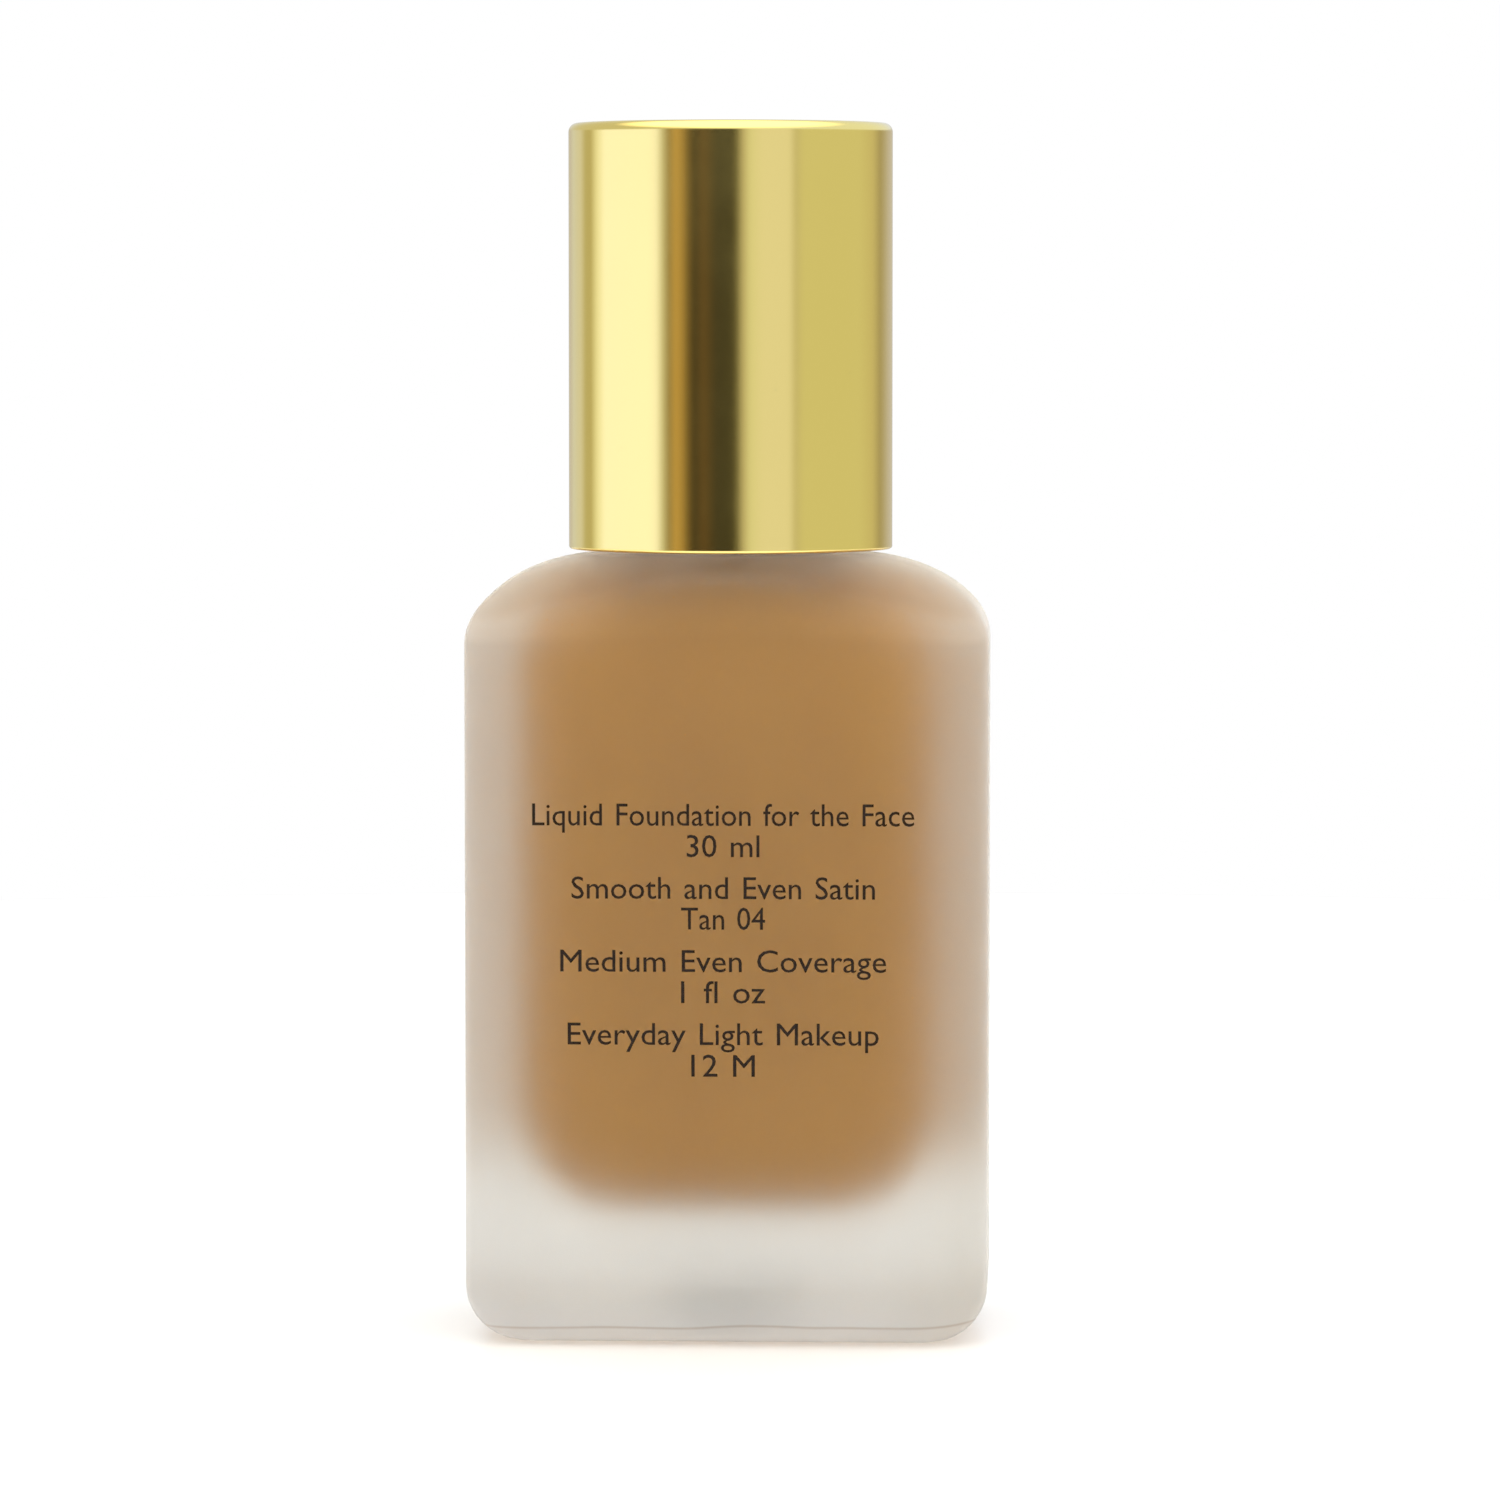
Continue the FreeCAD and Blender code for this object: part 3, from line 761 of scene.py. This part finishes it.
def edge_wear():
    """A node group that finds the rounded edges of a piece, broken up by noise."""
    group = bpy.data.node_groups.new("edge_wear", "ShaderNodeTree")
    for name, kind in [("Place", "NodeSocketVector"), ("Width", "NodeSocketFloat"),
                       ("Amount", "NodeSocketFloat")]:
        group.interface.new_socket(name, in_out="INPUT", socket_type=kind)
    group.interface.new_socket("Mask", in_out="OUTPUT", socket_type="NodeSocketFloat")
    given = group.nodes.new("NodeGroupInput").outputs
    rounded = add(group, "ShaderNodeBevel", {"Radius": given["Width"]}, samples=4)
    plain = add(group, "ShaderNodeNewGeometry").outputs["Normal"]
    same = add(group, "ShaderNodeVectorMath", {0: rounded.outputs[0], 1: plain},
               operation="DOT_PRODUCT")
    edge = add(group, "ShaderNodeMapRange", {"Value": same.outputs["Value"], "From Min": 0.995,
                                             "From Max": 0.9})
    patches = add(group, "ShaderNodeTexNoise", {"Vector": given["Place"], "Scale": 1200.0,
                                                "Detail": 4.0})
    broken = add(group, "ShaderNodeMapRange", {"Value": patches.outputs["Fac"], "From Min": 0.4,
                                               "From Max": 0.7})
    both = add(group, "ShaderNodeMath", {0: edge.outputs[0], 1: broken.outputs[0]},
               operation="MULTIPLY")
    mask = add(group, "ShaderNodeMath", {0: both.outputs[0], 1: given["Amount"]}, operation="MULTIPLY")
    add(group, "NodeGroupOutput", {"Mask": mask.outputs[0]})
    return group


WEAR = edge_wear()
gold = bpy.data.materials.new("gold_metal")
tree = node_tree(gold)
spot = add(tree, "ShaderNodeTexCoord").outputs["Object"]
drawn = add(tree, "ShaderNodeMapping", {"Vector": spot, "Scale": (1.0, 1.0, 0.04)})
lines = add(tree, "ShaderNodeTexNoise", {"Vector": drawn.outputs[0], "Scale": 6000.0, "Detail": 2.0})
grain = add(tree, "ShaderNodeGroup", {"Place": spot, "Grains": 5000.0, "Roughness": 0.12,
                                      "Spread": 0.05}, node_tree=GRAIN)
worn = add(tree, "ShaderNodeGroup", {"Place": spot, "Width": 0.3 * MM, "Amount": 0.5}, node_tree=WEAR)
skin = add(tree, "ShaderNodeMix", {"Factor": worn.outputs["Mask"], "A": (*GOLD, 1),
                                   "B": (*GOLD_WORN, 1)}, data_type="RGBA")
speckled = add(tree, "ShaderNodeGroup", {"Place": spot, "Cells": 1100.0, "Size": 0.09, "Share": 0.015,
                                         "Surface": skin.outputs["Result"], "Speck": GOLD_SPECK},
               node_tree=SPECKS)
height = add(tree, "ShaderNodeMath", {0: lines.outputs["Fac"], 1: speckled.outputs["Mask"]},
             operation="ADD")
bump = add(tree, "ShaderNodeBump", {"Height": height.outputs[0], "Strength": 0.12,
                                    "Distance": 0.004 * MM})
shader = add(tree, "ShaderNodeBsdfPrincipled", {"Base Color": speckled.outputs["Color"],
                                                "Metallic": 1.0,
                                                "Roughness": grain.outputs["Roughness"],
                                                "Normal": bump.outputs[0]})
add(tree, "ShaderNodeOutputMaterial", {"Surface": shader.outputs[0]})
shell.data.materials.append(gold)
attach(shell, "cap")
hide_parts("cap_shell")


# ---- Weight ----------------------------------------------------------------------------------------
# A zinc-plated steel disc under the shell's roof that makes the cap feel heavy. It is faced on a
# lathe, so fine rings run round it, and the plating is a little cloudy.
steel = bpy.data.materials.new("weight_steel")
tree = node_tree(steel)
spot = add(tree, "ShaderNodeTexCoord").outputs["Object"]
rings = add(tree, "ShaderNodeTexWave", {"Vector": spot, "Scale": 1500.0, "Distortion": 0.3},
            wave_type="RINGS", rings_direction="Z")
clouds = add(tree, "ShaderNodeTexNoise", {"Vector": spot, "Scale": 350.0, "Detail": 5.0})
plating = ramp(tree, clouds.outputs["Fac"], [(0.3, (0.5, 0.51, 0.54)), (0.7, (0.66, 0.66, 0.65))])
grain = add(tree, "ShaderNodeGroup", {"Place": spot, "Grains": 4000.0, "Roughness": 0.34,
                                      "Spread": 0.15}, node_tree=GRAIN)
bump = add(tree, "ShaderNodeBump", {"Height": rings.outputs["Fac"], "Strength": 0.4,
                                    "Distance": 0.02 * MM})
shader = add(tree, "ShaderNodeBsdfPrincipled", {"Base Color": plating, "Metallic": 1.0,
                                                "Roughness": grain.outputs["Roughness"],
                                                "Normal": bump.outputs[0]})
add(tree, "ShaderNodeOutputMaterial", {"Surface": shader.outputs[0]})
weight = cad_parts["cap_weight"]
weight.data.materials.clear()
weight.data.materials.append(steel)


# ---- Inner cap -------------------------------------------------------------------------------------
# One white polypropylene moulding with the skirt, eight ribs and the threaded socket. It presses into
# the shell and shows a soft moulded tooth and faint flow marks.
polymer = bpy.data.materials.new("white_polymer")
tree = node_tree(polymer)
spot = add(tree, "ShaderNodeTexCoord").outputs["Object"]
flow = add(tree, "ShaderNodeTexNoise", {"Vector": spot, "Scale": 140.0, "Detail": 3.0,
                                        "Distortion": 1.2})
white = ramp(tree, flow.outputs["Fac"], [(0.3, (0.8, 0.79, 0.75)), (0.7, (0.86, 0.855, 0.83))])
dusty = add(tree, "ShaderNodeGroup", {"Place": spot, "Cells": 800.0, "Size": 0.12, "Share": 0.03,
                                      "Surface": white, "Speck": (0.6, 0.5, 0.38, 1)}, node_tree=SPECKS)
grain = add(tree, "ShaderNodeGroup", {"Place": spot, "Grains": 3500.0, "Roughness": 0.42,
                                      "Spread": 0.12}, node_tree=GRAIN)
bump = add(tree, "ShaderNodeBump", {"Height": grain.outputs["Height"], "Strength": 0.25,
                                    "Distance": 0.03 * MM})
shader = add(tree, "ShaderNodeBsdfPrincipled", {"Base Color": dusty.outputs["Color"],
                                                "Roughness": grain.outputs["Roughness"],
                                                "Normal": bump.outputs[0]})
add(tree, "ShaderNodeOutputMaterial", {"Surface": shader.outputs[0]})
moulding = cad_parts["inner_cap"]
moulding.data.materials.clear()
moulding.data.materials.append(polymer)


# ---- Liner -----------------------------------------------------------------------------------------
# A punched disc of white foamed polyethylene that seals on the glass lip. Its cells are open where it
# was cut, and the lip has pressed a faint ring into it with a trace of tan.
foam = bpy.data.materials.new("liner_foam")
tree = node_tree(foam)
spot = add(tree, "ShaderNodeTexCoord").outputs["Object"]
cells = add(tree, "ShaderNodeTexVoronoi", {"Vector": spot, "Scale": 4500.0})
axes = add(tree, "ShaderNodeSeparateXYZ", {"Vector": spot})
flat = add(tree, "ShaderNodeCombineXYZ", {"X": axes.outputs["X"], "Y": axes.outputs["Y"]})
out = add(tree, "ShaderNodeVectorMath", {0: flat.outputs[0]}, operation="LENGTH")
reach = add(tree, "ShaderNodeMapRange", {"Value": out.outputs["Value"], "From Max": 10 * MM})
print_ring = ramp(tree, reach.outputs[0], [(0.6, (0.83, 0.82, 0.79)), (0.68, (0.72, 0.6, 0.42)),
                                           (0.74, (0.76, 0.67, 0.52)), (0.84, (0.83, 0.82, 0.79))])
grain = add(tree, "ShaderNodeGroup", {"Place": spot, "Grains": 2500.0, "Roughness": 0.85,
                                      "Spread": 0.1}, node_tree=GRAIN)
bump = add(tree, "ShaderNodeBump", {"Height": cells.outputs["Distance"], "Strength": 0.6,
                                    "Distance": 0.05 * MM})
shader = add(tree, "ShaderNodeBsdfPrincipled", {"Base Color": print_ring,
                                                "Roughness": grain.outputs["Roughness"],
                                                "Normal": bump.outputs[0]})
add(tree, "ShaderNodeOutputMaterial", {"Surface": shader.outputs[0]})
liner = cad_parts["cap_liner"]
liner.data.materials.clear()
liner.data.materials.append(foam)


# ---- Sizes -----------------------------------------------------------------------------------------
# The box round the finished pieces is found again, without the backdrop.
low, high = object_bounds()
